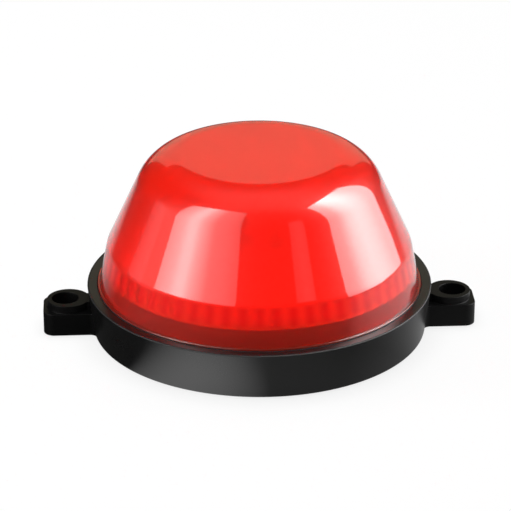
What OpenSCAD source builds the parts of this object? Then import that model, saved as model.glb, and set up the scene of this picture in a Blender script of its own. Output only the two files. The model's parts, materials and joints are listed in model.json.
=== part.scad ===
// Surface-mount horn strobe: a round eared base, a screw-on tapered lens and the
// flash and sounder electronics that sit between them.
// The mounting face is at z = 0, the ears lie along X and the cable comes in through the floor.

/* [Lens] */
// Outer radius of the lens at its foot
lens_foot_r = 46.6; // [42:0.1:54]
// Outer radius at the knee, where the ribbed band ends and the cone begins
lens_knee_r = 44; // [40:0.1:51]
// Height of the ribbed band above the rim of the base
lens_band_h = 12.2; // [10:0.1:18]
// Height of the flat top above the rim of the base
lens_h = 39.8; // [34:0.1:48]
// Lean of the cone from the vertical, in degrees
lens_lean = 24.7; // [15:0.1:32]
// Radius of the rounded shoulder below the flat top
lens_shoulder_r = 14.1; // [6:0.1:16]
// Wall thickness of the lens
lens_t = 2; // [1.4:0.1:2.6]
// Wall thickness of the lens skirt at its foot
skirt_t = 2.05; // [1.6:0.05:2.6]
// Least wall thickness of the skirt beside the top of the collar
skirt_top_t = 0.6; // [0.4:0.05:1]
// Number of light-spreading ribs inside the band
rib_count = 60; // [24:4:72]
// Width of one light-spreading rib
rib_w = 1.9; // [1:0.1:2.2]
// How far a rib stands in from the wall
rib_d = 0.9; // [0.5:0.1:1.2]

/* [Base] */
// Height of the rim above the mounting face
rim_h = 13.5; // [12:0.5:20]
// Width of the rim outside the lens recess
rim_w = 3; // [2.5:0.1:6]
// How much narrower the foot is than the rim, on the radius
wall_draft = 1.6; // [0:0.1:3]
// Thickness of the outer wall
wall_t = 2.4; // [1.8:0.1:3.2]
// Thickness of the floor
floor_t = 2.5; // [2.2:0.1:4]
// Thickness of the shelf that carries the lens
shelf_t = 2; // [1.5:0.1:3]
// Wall thickness of the collar
collar_t = 2; // [1.5:0.1:3]
// Chamfer on the outer edge of the rim
rim_chamfer = 0.6; // [0.2:0.1:1.5]
// Gap between the lens foot and the rim beside it
rim_gap = 0.4; // [0.2:0.05:1]

/* [Lens lock] */
// Number of lips on the collar and of lugs on the lens
lock_count = 3; // [2:1:4]
// Rise of the lens in one full turn
lock_lead = 12; // [8:0.5:16]
// Turn that frees the lens, in degrees
lock_turn = 55; // [50:1:60]
// Angle that each lip covers
lip_arc = 48; // [40:1:52]
// Angle that each lug covers
lug_arc = 38; // [30:1:42]
// Thickness of the lips and lugs
lock_t = 1.2; // [0.9:0.1:1.6]
// How far the lips stand out of the collar
lip_depth = 1.2; // [0.8:0.1:1.8]
// Play between collar and lens, on the radius
lock_play = 0.35; // [0.2:0.05:0.6]
// Play between the lips and the lugs, up and down
lock_gap = 0.3; // [0.2:0.05:0.6]
// Thickness of the gasket below the lens foot
gasket_t = 1; // [0.8:0.1:1.6]

/* [Ears] */
// Distance between the two mounting holes
hole_spacing = 113; // [110:0.5:130]
// Diameter of the mounting holes
hole_d = 4; // [3.5:0.1:5]
// Diameter of the recess for the screw head
head_d = 7.8; // [7:0.1:8.6]
// Thickness of the ear under the screw head
head_seat_t = 3.2; // [2:0.1:5]
// Reach of the ear's lower step past the screw hole
ear_r = 6.4; // [6:0.1:8]
// Half of the width of the ear's lower step
ear_half_w = 6.6; // [6.5:0.1:8]
// Radius of the outer corners of the ear's lower step
ear_corner_r = 3.2; // [1:0.1:5]
// Height of the ear's lower step
ear_h = 6.7; // [5:0.1:8]
// Radius of the ear's upper step
ear_boss_r = 6.2; // [6:0.1:6.5]
// How much nearer to the lens the upper step's centre lies than the screw hole
ear_boss_in = 0.9; // [0:0.1:1.2]
// Height of the ear's upper step above the mounting face
ear_boss_h = 9; // [8.2:0.1:11]
// Fillet between an ear and the wall
ear_fillet = 2; // [1:0.5:7]

/* [Openings in the base] */
// Diameter of the cable, which the grommet takes
cable_d = 5; // [4:0.1:5.5]
// Number of sound slots in the rear wall
slot_count = 5; // [1:2:7]
// Width of one sound slot
slot_w = 1.6; // [1:0.1:2.2]
// Height of one sound slot
slot_h = 5; // [3:0.1:5.5]

/* [Board] */
// Gap between the board's edge and the collar
board_gap = 2.1; // [1.5:0.1:3]
// Thickness of the board
board_t = 1.6; // [1:0.1:2]
// Height of the posts that carry the board
post_h = 3.5; // [3:0.1:4]
// Radius of the posts
post_r = 3.2; // [2.6:0.1:4]
// Radius of the board screws
screw_r = 1.25; // [1:0.05:1.5]

/* [Flash tube] */
// Radius of the holder that carries the tube
holder_r = 8; // [7.6:0.1:9]
// Outer radius of the glass tube
tube_r = 2; // [1.6:0.1:2.2]
// Wall thickness of the glass tube
tube_t = 0.6; // [0.4:0.05:0.7]
// Half the distance between the two legs
tube_leg_x = 5; // [4.4:0.1:5.2]
// Height of the straight legs above the holder
tube_leg_h = 11; // [8:0.5:14]
// Thickness of the reflector
reflector_t = 1.2; // [0.9:0.1:1.6]
// Rise of the reflector from the collar to the tube
reflector_rise = 4; // [2:0.5:6]

/* [Electronics] */
// Diameter of the storage capacitor
store_d = 9.5; // [8:0.1:10]
// Length of the storage capacitor
store_l = 20; // [16:0.5:22]
// Width and depth of the transformer's core
core_w = 13; // [11:0.5:14]
// Height of the transformer's core
core_h = 9.6; // [8:0.1:10]
// Diameter of the sounder
sounder_d = 24; // [20:0.5:24.5]
// Height of the sounder
sounder_h = 8.5; // [7:0.1:9.5]
// Thickness of the sounder's wall
sounder_t = 1.2; // [0.8:0.1:1.6]

/* [Hidden] */
$fn = 96;
eps = 0.01;
fit = 0.05;
ease = 0.3;

seat_z = rim_h - gasket_t;
lens_wide_r = max(lens_foot_r, lens_knee_r);
recess_r = lens_wide_r + rim_gap;
rim_r = recess_r + rim_w;
foot_r = rim_r - wall_draft;
shelf_z = seat_z - shelf_t;

lock_slope = lock_lead / (2 * PI);
lug_z = rim_h + lock_gap + lock_t / 2 + lock_slope * sin(lug_arc / 2);
lip_z = lug_z + lock_t + lock_gap;
collar_z = lip_z + lock_t / 2 + lock_slope * sin(lip_arc / 2) + lock_gap;
skirt_z = collar_z + 2 * lock_gap;

skirt_in_r = min(lens_foot_r - skirt_t, band_r(skirt_z) - skirt_top_t);
lip_r = skirt_in_r - lock_play;
collar_r = lip_r - lip_depth;
collar_in_r = collar_r - collar_t;
lug_in_r = collar_r + lock_play;
lock_mid_r = (lug_in_r + lip_r) / 2;
lock_tilt = atan(lock_slope / lock_mid_r);

knee_z = rim_h + lens_band_h;
top_z = rim_h + lens_h;
band_lean = atan((lens_foot_r - lens_knee_r) / lens_band_h);
knee_turn = (lens_lean + band_lean) / 2;
knee_off = lens_t / cos((lens_lean - band_lean) / 2);
knee_in_r = lens_knee_r - knee_off * cos(knee_turn);
knee_in_z = knee_z - knee_off * sin(knee_turn);
shoulder_z = top_z - lens_shoulder_r;
shoulder_x = lens_knee_r - (lens_shoulder_r - (knee_z - shoulder_z) * sin(lens_lean)) / cos(lens_lean);

ear_x = hole_spacing / 2;
hole_r = hole_d / 2;
head_r = head_d / 2;
ear_boss_x = ear_x - ear_boss_in;
ear_neck_half = ear_boss_r / 2;
ear_sink = 0.1;

grommet_r = cable_d / 2;
grommet_t = 1.7;
grommet_neck_r = grommet_r + grommet_t;
grommet_flange_w = 1.8;
grommet_flange_r = grommet_neck_r + grommet_flange_w;
grommet_flange_t = 1;
grommet_clear = 0.2;
grommet_sink = grommet_flange_t + grommet_clear;

board_z = floor_t + post_h;
board_top = board_z + board_t;
board_r = collar_in_r - board_gap;
screw_angles = [30, 150, 270];
screw_in = 4.5;
screw_head_r = 2 * screw_r;
screw_head_t = 1.8;
screw_bite = 1;
screw_grip = post_h + screw_bite;
wire_in = 14.5;
wire_at = polar(225, board_r - wire_in);
wire_hole_gap = 2;
wire_hole_r = grommet_r + wire_hole_gap;

reflector_r = min(collar_r - fit, band_in_r(collar_z + reflector_t) - lock_play);
holder_gap = 0.4;
reflector_hole_r = holder_r + holder_gap;
reflector_play = 0.15;
reflector_skirt_r = collar_in_r - reflector_play;
reflector_skirt_h = 2;
reflector_top = collar_z + reflector_rise + reflector_t;
holder_proud = 1.5;
holder_top = reflector_top + holder_proud;
socket_depth = 4;
leg_foot = holder_top - socket_depth;
leg_top = holder_top + tube_leg_h;
lead_r = 0.5;

electrode_gap = 0.15;
electrode_lift = 1;
anode_h = 5;
cathode_h = 7;
band_h = 2.4;
band_t = 0.5;

lead_wire_r = 0.35;
lead_lift = 0.4;
ring_gap = 6;
ring_r = holder_r + ring_gap;
resistor_r = 1.2;
resistor_l = 6.3;
resistor_span = 10;
rectifier_r = 1.3;
rectifier_l = 5;
rectifier_span = 9.6;
clamp_r = 0.9;
clamp_l = 4;
clamp_span = 8;

store_in = 3.5;
store_x = board_r - store_in - store_d / 2;
bung_d = store_d - 1.4;
bung_t = 1.2;
groove_at = 2.4;
groove_w = 1;
groove_d = 0.4;
lead_l = 2;

core_in = 6;
core_x = -(board_r - core_in - core_w / 2);
core_leg = core_w / 4;
core_wall = core_w / 6;
bobbin_t = 0.8;

coil_w = 8;
coil_cap_r = 2.4;
coil_cap_h = 1;
coil_gap = 2.5;
coil_angle = 290;
coil_mid_r = ring_r + coil_gap + coil_w / 2;

tab_in = 4;
transistor_l = 9;
transistor_w = 7.8;
transistor_t = 2.7;
transistor_hole_r = 1.6;
transistor_hole_in = 3;
transistor_leg_l = 3;
transistor_leg_w = 0.8;
transistor_leg_h = 1.6;
transistor_leg_t = 0.6;
transistor_pitch = 2.3;
transistor_angle = 322;
transistor_foot_r = board_r - tab_in - transistor_l;

chip_w = 6.4;
chip_l = 9.4;
chip_t = 3.2;
chip_lift = 0.5;
chip_notch_r = 0.8;
chip_notch_d = 1;
chip_leg_w = 1;
chip_leg_l = 0.9;
chip_leg_h = 2.2;
chip_leg_t = 0.3;
chip_pitch = 2.54;
chip_in = 14;
chip_angle = 253;
chip_mid_r = board_r - chip_in;

film_w = 5;
film_l = 11;
film_h = 8;
pulse_w = 4.5;
pulse_l = 9;
pulse_h = 7;
box_foot = 0.8;
box_lift = 0.4;
box_in = 11;

pin_in = 4.5;
pin_r = 0.8;
pin_h = 5;
pin_collar_r = 1.5;
pin_bead_r = 1.2;
pin_bead_z = 3.4;
pin_bead_t = 0.6;

sounder_r = sounder_d / 2;
sounder_in = 1.5;
sounder_at = polar(90, board_r - sounder_in - sounder_r);
plate_t = 1;
disc_play = 0.2;
disc_r = sounder_r - sounder_t - disc_play;
disc_t = 0.3;
disc_lift = 3;
disc_z = board_top + plate_t + disc_lift;
disc_ledge = 1.4;
sound_hole_r = 2;
ceramic_r = 0.7 * disc_r;
ceramic_t = 0.3;

function polar(a, r) = [r * cos(a), r * sin(a)];
function wall_r(z) = foot_r + wall_draft * z / rim_h;
function band_r(z) = lens_foot_r - (lens_foot_r - lens_knee_r) * (z - rim_h) / lens_band_h;
function band_in_r(z) = knee_in_r + (knee_in_z - z) * tan(band_lean);

// Sector of a ring with a rectangular section, centred on +X and tilted to follow the thread
module lock_sector(r0, r1, z, arc) {
    translate([0, 0, z])
        rotate([lock_tilt, 0, 0])
            rotate([0, 0, -arc / 2])
                rotate_extrude(angle = arc)
                    translate([r0, -lock_t / 2])
                        square([r1 - r0, lock_t]);
}

// Half section of the lens drawn in by t, from the foot to the flat top
module lens_section(foot, z0, knee, t) {
    r = lens_shoulder_r - t;
    polygon([
        [0, z0], [foot, z0], knee,
        [shoulder_x + r * cos(lens_lean), shoulder_z + r * sin(lens_lean)],
        [shoulder_x, shoulder_z + r], [0, shoulder_z + r]
    ]);
    intersection() {
        translate([shoulder_x, shoulder_z])
            circle(r = r);
        translate([shoulder_x, shoulder_z])
            square([r, r]);
    }
}

module lens_rib() {
    z0 = skirt_z + rib_d;
    rib_h = (knee_in_z - rib_d - z0) / cos(band_lean);
    translate([band_in_r(z0), 0, z0])
        rotate([0, -band_lean, 0])
            translate([-rib_d, -rib_w / 2, 0])
                cube([rib_d + lens_t / 2, rib_w, rib_h]);
}

module lens() {
    color([0.86, 0.06, 0.04, 0.8]) {
        difference() {
            rotate_extrude()
                lens_section(lens_foot_r, rim_h, [lens_knee_r, knee_z], 0);
            rotate_extrude()
                lens_section(band_in_r(rim_h - 1), rim_h - 1, [knee_in_r, knee_in_z], lens_t);
            translate([0, 0, rim_h - 1])
                cylinder(r = skirt_in_r, h = skirt_z - rim_h + 1);
        }
        for (i = [0 : rib_count - 1])
            rotate([0, 0, i * 360 / rib_count])
                lens_rib();
        for (i = [0 : lock_count - 1])
            rotate([0, 0, i * 360 / lock_count])
                lock_sector(lug_in_r, skirt_in_r + skirt_t / 4, lug_z, lug_arc);
    }
}

module lens_gasket() {
    color([0.12, 0.12, 0.12])
        translate([0, 0, seat_z])
            difference() {
                cylinder(r = recess_r - fit, h = gasket_t);
                translate([0, 0, -1])
                    cylinder(r = skirt_in_r, h = gasket_t + 2);
            }
}

// Root of an ear of half width w: a straight neck and fillets into the wall
module ear_root(w) {
    root_r = foot_r - ear_sink;
    fx = sqrt(pow(root_r + ear_fillet, 2) - pow(w + ear_fillet, 2));
    a = atan2(w + ear_fillet, fx);
    inner = foot_r - wall_t / 2;
    translate([inner * cos(a), -w])
        square([ear_x - inner * cos(a), 2 * w]);
    for (s = [-1, 1])
        difference() {
            polygon([
                [inner * cos(a), 0], [fx, 0], [fx, s * w],
                [root_r * cos(a), s * root_r * sin(a)], [inner * cos(a), s * inner * sin(a)]
            ]);
            translate([fx, s * (w + ear_fillet)])
                circle(r = ear_fillet);
        }
}

// Plan of an ear's lower step: a square end with round corners
module ear_step_plan() {
    end_x = ear_x + ear_r;
    c = ear_corner_r;
    w = ear_half_w;
    ear_root(w);
    polygon([
        [ear_x, -w], [end_x - c, -w], [end_x, c - w], [end_x, w - c], [end_x - c, w], [ear_x, w]
    ]);
    for (s = [-1, 1])
        translate([end_x - c, s * (w - c)])
            circle(r = c);
}

// Plan of an ear's upper step: a round boss with a short neck into the wall
module ear_boss_plan() {
    inner = foot_r - wall_t / 2;
    translate([inner, -ear_neck_half])
        square([ear_boss_x - inner, 2 * ear_neck_half]);
    translate([ear_boss_x, 0])
        circle(r = ear_boss_r);
}

module ear() {
    difference() {
        union() {
            linear_extrude(ear_h)
                ear_step_plan();
            linear_extrude(ear_boss_h)
                ear_boss_plan();
        }
        translate([ear_x, 0, -1])
            cylinder(r = hole_r, h = ear_boss_h + 2);
        translate([ear_x, 0, head_seat_t])
            cylinder(r = head_r, h = ear_boss_h);
    }
}

module base_shell() {
    rotate_extrude()
        polygon([
            [0, 0], [foot_r, 0], [wall_r(rim_h - rim_chamfer), rim_h - rim_chamfer],
            [rim_r - rim_chamfer, rim_h], [recess_r, rim_h], [recess_r, seat_z],
            [collar_r, seat_z], [collar_r, collar_z], [collar_in_r, collar_z],
            [collar_in_r, shelf_z], [wall_r(shelf_z) - wall_t, shelf_z],
            [wall_r(floor_t) - wall_t, floor_t], [0, floor_t]
        ]);
}

// Lip on the collar with the stop that the lug comes to when the lens is tight
module collar_lip() {
    lock_sector(collar_r - collar_t / 4, lip_r, lip_z, lip_arc);
    stop_arc = (lip_arc - lug_arc) / 2 - ease * 180 / PI / lock_mid_r;
    rotate([0, 0, -lip_arc / 2])
        translate([0, 0, seat_z])
            rotate_extrude(angle = stop_arc)
                translate([collar_r - collar_t / 4, 0])
                    square([lip_r - collar_r + collar_t / 4, lug_z - seat_z]);
}

module board_post() {
    translate([0, 0, floor_t - eps])
        cylinder(r = post_r, h = post_h + eps);
}

module base() {
    color([0.09, 0.09, 0.1])
        difference() {
            union() {
                base_shell();
                ear();
                rotate([0, 0, 180])
                    ear();
                for (i = [0 : lock_count - 1])
                    rotate([0, 0, i * 360 / lock_count])
                        collar_lip();
                for (a = screw_angles)
                    translate(polar(a, board_r - screw_in))
                        board_post();
            }
            for (a = screw_angles)
                translate(concat(polar(a, board_r - screw_in), board_z - screw_grip))
                    cylinder(r = screw_r + fit, h = screw_grip + 1);
            translate(concat(wire_at, -1))
                cylinder(r = grommet_neck_r + fit, h = floor_t + 2);
            translate(concat(wire_at, -1))
                cylinder(r = grommet_flange_r + fit, h = grommet_sink + 1);
            for (i = [0 : slot_count - 1])
                rotate([0, 0, 90 + (i - (slot_count - 1) / 2) * 6])
                    translate([foot_r - wall_t - 1, -slot_w / 2, (floor_t + shelf_z - slot_h) / 2])
                        cube([wall_t + wall_draft + 2, slot_w, slot_h]);
        }
}

module cable_grommet() {
    color([0.15, 0.15, 0.15])
        translate(wire_at)
            difference() {
                union() {
                    translate([0, 0, grommet_clear])
                        cylinder(r = grommet_flange_r, h = grommet_flange_t);
                    translate([0, 0, grommet_clear])
                        cylinder(r = grommet_neck_r, h = floor_t);
                    translate([0, 0, floor_t])
                        cylinder(r = grommet_flange_r, h = grommet_flange_t);
                }
                translate([0, 0, -1])
                    cylinder(r = grommet_r, h = floor_t + grommet_flange_t + 2);
            }
}

module circuit_board() {
    color([0.1, 0.35, 0.18])
        translate([0, 0, board_z])
            difference() {
                cylinder(r = board_r, h = board_t);
                for (a = screw_angles)
                    translate(concat(polar(a, board_r - screw_in), -1))
                        cylinder(r = screw_r + ease, h = board_t + 2);
                translate(concat(wire_at, -1))
                    cylinder(r = wire_hole_r, h = board_t + 2);
            }
}

module board_screw(a) {
    color([0.75, 0.75, 0.78])
        translate(concat(polar(a, board_r - screw_in), board_top))
            difference() {
                union() {
                    cylinder(r = screw_head_r, h = screw_head_t);
                    translate([0, 0, -board_t - screw_grip + ease])
                        cylinder(r = screw_r, h = board_t + screw_grip);
                }
                for (t = [0, 90])
                    rotate([0, 0, t])
                        translate([-screw_head_r * 0.7, -screw_r / 4, screw_head_t / 2])
                            cube([screw_head_r * 1.4, screw_r / 2, screw_head_t]);
            }
}

module board_screw_a() { board_screw(screw_angles[0]); }
module board_screw_b() { board_screw(screw_angles[1]); }
module board_screw_c() { board_screw(screw_angles[2]); }

// Cone that rises from the collar to the tube, with a skirt that centres it in the collar
module reflector() {
    color([0.93, 0.93, 0.93])
        rotate_extrude()
            polygon([
                [reflector_skirt_r, collar_z - reflector_skirt_h], [reflector_skirt_r, collar_z],
                [reflector_r, collar_z], [reflector_r, collar_z + reflector_t],
                [reflector_skirt_r - reflector_t, collar_z + reflector_t],
                [reflector_hole_r, reflector_top], [reflector_hole_r, reflector_top - reflector_t],
                [reflector_skirt_r - reflector_t, collar_z],
                [reflector_skirt_r - reflector_t, collar_z - reflector_skirt_h]
            ]);
}

module tube_holder() {
    color([0.92, 0.9, 0.84])
        difference() {
            translate([0, 0, board_top])
                cylinder(r = holder_r, h = holder_top - board_top);
            for (s = [-1, 1])
                translate([s * tube_leg_x, 0, leg_foot])
                    cylinder(r = tube_r + fit, h = socket_depth + 1);
            for (s = [-1, 1])
                translate([s * tube_leg_x, 0, board_top - 1])
                    cylinder(r = lead_r + fit, h = leg_foot - board_top + 2);
        }
}

// One U-bent tube: two legs and a half turn over the top
module tube_path(r) {
    for (s = [-1, 1])
        translate([s * tube_leg_x, 0, leg_foot])
            cylinder(r = r, h = leg_top - leg_foot);
    translate([0, 0, leg_top])
        rotate([90, 0, 0])
            rotate_extrude(angle = 180)
                translate([tube_leg_x, 0])
                    circle(r = r);
}

module flash_tube() {
    color([0.9, 0.95, 1, 0.4])
        difference() {
            tube_path(tube_r);
            tube_path(tube_r - tube_t);
        }
}

module electrode(s, bead_h) {
    color([0.7, 0.7, 0.72])
        translate([s * tube_leg_x, 0, 0]) {
            translate([0, 0, board_top])
                cylinder(r = lead_r, h = leg_foot + electrode_lift - board_top);
            translate([0, 0, leg_foot + electrode_lift])
                cylinder(r = tube_r - tube_t - electrode_gap, h = bead_h);
        }
}

module tube_anode() { electrode(1, anode_h); }
module tube_cathode() { electrode(-1, cathode_h); }

// Clip round one leg with a wire that comes up from the holder
module trigger_band() {
    z = holder_top + tube_leg_h / 2;
    color([0.8, 0.8, 0.76])
        translate([-tube_leg_x, 0, 0]) {
            translate([0, 0, z])
                difference() {
                    cylinder(r = tube_r + fit + band_t, h = band_h);
                    translate([0, 0, -1])
                        cylinder(r = tube_r + fit, h = band_h + 2);
                }
            translate([0, tube_r + fit + lead_wire_r, holder_top])
                cylinder(r = lead_wire_r, h = z + band_h / 2 - holder_top);
        }
}

module store_at(y) {
    translate([store_x, y, board_top + store_d / 2])
        rotate([-90, 0, 0])
            children();
}

module storage_capacitor() {
    color([0.12, 0.16, 0.32])
        difference() {
            store_at(-store_l / 2)
                cylinder(d = store_d, h = store_l);
            store_at(store_l / 2 - bung_t)
                cylinder(d = bung_d, h = 2 * bung_t);
            store_at(-store_l / 2 + groove_at)
                difference() {
                    cylinder(d = store_d + 1, h = groove_w);
                    translate([0, 0, -1])
                        cylinder(d = store_d - 2 * groove_d, h = groove_w + 2);
                }
        }
}

module capacitor_bung() {
    color([0.2, 0.2, 0.2]) {
        store_at(store_l / 2 - bung_t)
            cylinder(d = bung_d - 2 * fit, h = 4 * bung_t / 3);
        for (s = [-1, 1]) {
            translate([store_x + s * bung_d / 4, store_l / 2, board_top + store_d / 2])
                rotate([-90, 0, 0])
                    cylinder(r = lead_wire_r, h = lead_l);
            translate([store_x + s * bung_d / 4, store_l / 2 + lead_l - lead_wire_r, board_top])
                cylinder(r = lead_wire_r, h = store_d / 2 + lead_wire_r);
        }
    }
}

module core_at(z) {
    translate([core_x, 0, board_top + z])
        children();
}

// Closed ferrite frame with a round centre leg, standing on the bobbin's pins rail
module inverter_core() {
    color([0.22, 0.22, 0.23])
        core_at(0) {
            difference() {
                translate([-core_w / 2, -core_leg, 0])
                    cube([core_w, 2 * core_leg, core_h]);
                translate([-core_w / 2 + core_wall, -core_leg - 1, core_wall])
                    cube([core_w - 2 * core_wall, 2 * core_leg + 2, core_h - 2 * core_wall]);
            }
            cylinder(r = core_leg - bobbin_t, h = core_h);
        }
}

module inverter_bobbin() {
    h = core_h - 2 * core_wall;
    color([0.85, 0.83, 0.75])
        core_at(core_wall)
            difference() {
                union() {
                    cylinder(r = core_leg, h = h);
                    for (z = [0, h - bobbin_t])
                        translate([0, 0, z])
                            cylinder(r = core_w / 2 - core_wall - fit, h = bobbin_t);
                }
                translate([0, 0, -1])
                    cylinder(r = core_leg - bobbin_t + fit, h = h + 2);
            }
}

module inverter_winding() {
    h = core_h - 2 * core_wall - 2 * bobbin_t;
    color([0.72, 0.4, 0.16])
        core_at(core_wall + bobbin_t)
            difference() {
                cylinder(r = core_w / 2 - core_wall - 2 * fit, h = h);
                translate([0, 0, -1])
                    cylinder(r = core_leg + fit, h = h + 2);
            }
}

// Places a piece on the board at an angle, with its own X pointing outward
module on_board(a, r) {
    translate(concat(polar(a, r), board_top))
        rotate([0, 0, a])
            children();
}

module trigger_coil() {
    color([0.1, 0.1, 0.11])
        on_board(coil_angle, coil_mid_r) {
            translate([-coil_w / 2, -coil_w / 2, 0])
                cube(coil_w);
            translate([0, 0, coil_w])
                cylinder(r = coil_cap_r, h = coil_cap_h);
        }
}

module switching_transistor() {
    color([0.08, 0.08, 0.08])
        on_board(transistor_angle, transistor_foot_r)
            difference() {
                translate([0, -transistor_w / 2, 0])
                    cube([transistor_l, transistor_w, transistor_t]);
                translate([transistor_l - transistor_hole_in, 0, -1])
                    cylinder(r = transistor_hole_r, h = transistor_t + 2);
            }
}

module transistor_legs() {
    color([0.75, 0.75, 0.72])
        on_board(transistor_angle, transistor_foot_r)
            for (i = [-1 : 1])
                translate([-transistor_leg_l, i * transistor_pitch - transistor_leg_w / 2, 0])
                    difference() {
                        cube([transistor_leg_l, transistor_leg_w, transistor_leg_h]);
                        translate([transistor_leg_t, -1, -transistor_leg_t])
                            cube([transistor_leg_l, transistor_leg_w + 2, transistor_leg_h]);
                    }
}

module timing_chip() {
    color([0.07, 0.07, 0.08])
        on_board(chip_angle, chip_mid_r)
            difference() {
                translate([-chip_w / 2, -chip_l / 2, chip_lift])
                    cube([chip_w, chip_l, chip_t]);
                translate([0, -chip_l / 2, chip_lift + chip_t - chip_notch_d])
                    cylinder(r = chip_notch_r, h = 2 * chip_notch_d);
            }
}

module chip_legs() {
    color([0.78, 0.78, 0.76])
        on_board(chip_angle, chip_mid_r)
            for (s = [0, 180], i = [-1.5 : 1.5])
                rotate([0, 0, s])
                    translate([chip_w / 2, i * chip_pitch - chip_leg_w / 2, 0])
                        difference() {
                            cube([chip_leg_l, chip_leg_w, chip_leg_h]);
                            translate([-chip_leg_t, -1, -chip_leg_t])
                                cube([chip_leg_l, chip_leg_w + 2, chip_leg_h]);
                        }
}

module box_capacitor(w, l, h) {
    difference() {
        translate([-w / 2, -l / 2, 0])
            cube([w, l, h]);
        translate([-w / 2 + box_foot, -l / 2 - 1, -box_lift])
            cube([w - 2 * box_foot, l + 2, 2 * box_lift]);
    }
}

module film_capacitor() {
    color([0.6, 0.3, 0.1])
        on_board(43, board_r - box_in)
            box_capacitor(film_l, film_w, film_h);
}

module trigger_capacitor() {
    color([0.75, 0.62, 0.12])
        on_board(137, board_r - box_in)
            box_capacitor(pulse_l, pulse_w, pulse_h);
}

// Lead-mounted cylinder that lies along the tangent, on two bent leads
module axial_piece(a, body_r, body_l, span) {
    z = body_r + lead_lift;
    on_board(a, ring_r) {
        translate([0, -body_l / 2, z])
            rotate([-90, 0, 0])
                cylinder(r = body_r, h = body_l);
        translate([0, -span / 2, z])
            rotate([-90, 0, 0])
                cylinder(r = lead_wire_r, h = span);
        for (s = [-1, 1])
            translate([0, s * (span / 2 - lead_wire_r), 0])
                cylinder(r = lead_wire_r, h = z + lead_wire_r);
    }
}

module resistor(a) { axial_piece(a, resistor_r, resistor_l, resistor_span); }
module gate_resistor() { color([0.78, 0.66, 0.45]) resistor(30); }
module bleed_resistor() { color([0.55, 0.7, 0.8]) resistor(330); }
module timing_resistor() { color([0.78, 0.66, 0.45]) resistor(150); }
module rectifier_diode() {
    color([0.12, 0.12, 0.12]) axial_piece(210, rectifier_r, rectifier_l, rectifier_span);
}
module clamp_diode() {
    color([0.8, 0.35, 0.15]) axial_piece(270, clamp_r, clamp_l, clamp_span);
}

module supply_post(a) {
    color([0.8, 0.78, 0.7])
        on_board(a, board_r - pin_in) {
            cylinder(r = pin_collar_r, h = pin_bead_t);
            cylinder(r = pin_r, h = pin_h);
            translate([0, 0, pin_bead_z])
                cylinder(r = pin_bead_r, h = pin_bead_t);
        }
}

module supply_post_plus() { supply_post(216); }
module supply_post_minus() { supply_post(234); }

module sounder_at_z(z) {
    translate(concat(sounder_at, z))
        children();
}

module sounder_plate() {
    color([0.16, 0.16, 0.17])
        sounder_at_z(board_top)
            cylinder(r = sounder_r, h = plate_t);
}

module sounder_case() {
    h = sounder_h - plate_t;
    color([0.1, 0.1, 0.11])
        sounder_at_z(board_top + plate_t)
            difference() {
                cylinder(r = sounder_r, h = h);
                translate([0, 0, -1])
                    cylinder(r = sounder_r - sounder_t - disc_ledge, h = h + 1 - sounder_t);
                translate([0, 0, disc_z - board_top - plate_t])
                    cylinder(r = sounder_r - sounder_t, h = h - sounder_t - disc_z + board_top + plate_t);
                cylinder(r = sound_hole_r, h = h + 1);
            }
}

module sounder_disc() {
    color([0.8, 0.62, 0.25])
        sounder_at_z(disc_z)
            cylinder(r = disc_r, h = disc_t);
}

module sounder_ceramic() {
    color([0.92, 0.9, 0.82])
        sounder_at_z(disc_z + disc_t)
            cylinder(r = ceramic_r, h = ceramic_t);
}

base();
lens();
lens_gasket();
cable_grommet();
circuit_board();
board_screw_a();
board_screw_b();
board_screw_c();
reflector();
tube_holder();
flash_tube();
tube_anode();
tube_cathode();
trigger_band();
storage_capacitor();
capacitor_bung();
inverter_core();
inverter_bobbin();
inverter_winding();
trigger_coil();
switching_transistor();
transistor_legs();
timing_chip();
chip_legs();
film_capacitor();
trigger_capacitor();
gate_resistor();
bleed_resistor();
timing_resistor();
rectifier_diode();
clamp_diode();
supply_post_plus();
supply_post_minus();
sounder_plate();
sounder_case();
sounder_disc();
sounder_ceramic();
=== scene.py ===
import json
from math import asin, atan, cos, degrees, pi, radians, sin, sqrt, tan

import bpy
from mathutils import Matrix, Vector


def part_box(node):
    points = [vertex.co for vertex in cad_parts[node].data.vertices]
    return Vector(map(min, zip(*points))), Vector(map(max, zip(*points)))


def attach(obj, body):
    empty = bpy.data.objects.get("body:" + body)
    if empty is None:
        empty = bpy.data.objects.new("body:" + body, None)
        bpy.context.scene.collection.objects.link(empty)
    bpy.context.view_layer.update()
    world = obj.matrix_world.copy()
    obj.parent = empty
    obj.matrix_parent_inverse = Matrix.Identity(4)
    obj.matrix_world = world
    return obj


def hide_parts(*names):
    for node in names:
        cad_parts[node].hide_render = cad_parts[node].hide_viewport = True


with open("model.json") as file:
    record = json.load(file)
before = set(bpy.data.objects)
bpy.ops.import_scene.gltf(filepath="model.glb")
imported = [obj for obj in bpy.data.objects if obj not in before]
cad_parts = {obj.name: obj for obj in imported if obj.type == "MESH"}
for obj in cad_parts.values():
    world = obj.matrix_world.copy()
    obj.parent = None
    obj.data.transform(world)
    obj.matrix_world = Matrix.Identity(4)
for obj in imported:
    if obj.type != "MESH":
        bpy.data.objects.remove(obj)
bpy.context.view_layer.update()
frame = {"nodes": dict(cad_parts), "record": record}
nodes = frame["nodes"]
mm = 0.001
print("frame loaded with", len(nodes), "nodes")


# hand tools

weld = {"path": 1e-6, "piece": 2e-6}  # points nearer than this are merged, in metres
shading = {"smoothAngle": 35, "softAngle": 40, "faceWeight": 80}


def dropSelection():
    if bpy.context.mode != "OBJECT":
        bpy.ops.object.mode_set(mode="OBJECT")
    bpy.ops.object.select_all(action="DESELECT")


def workOn(piece):
    dropSelection()
    piece.select_set(True)
    bpy.context.view_layer.objects.active = piece


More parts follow.
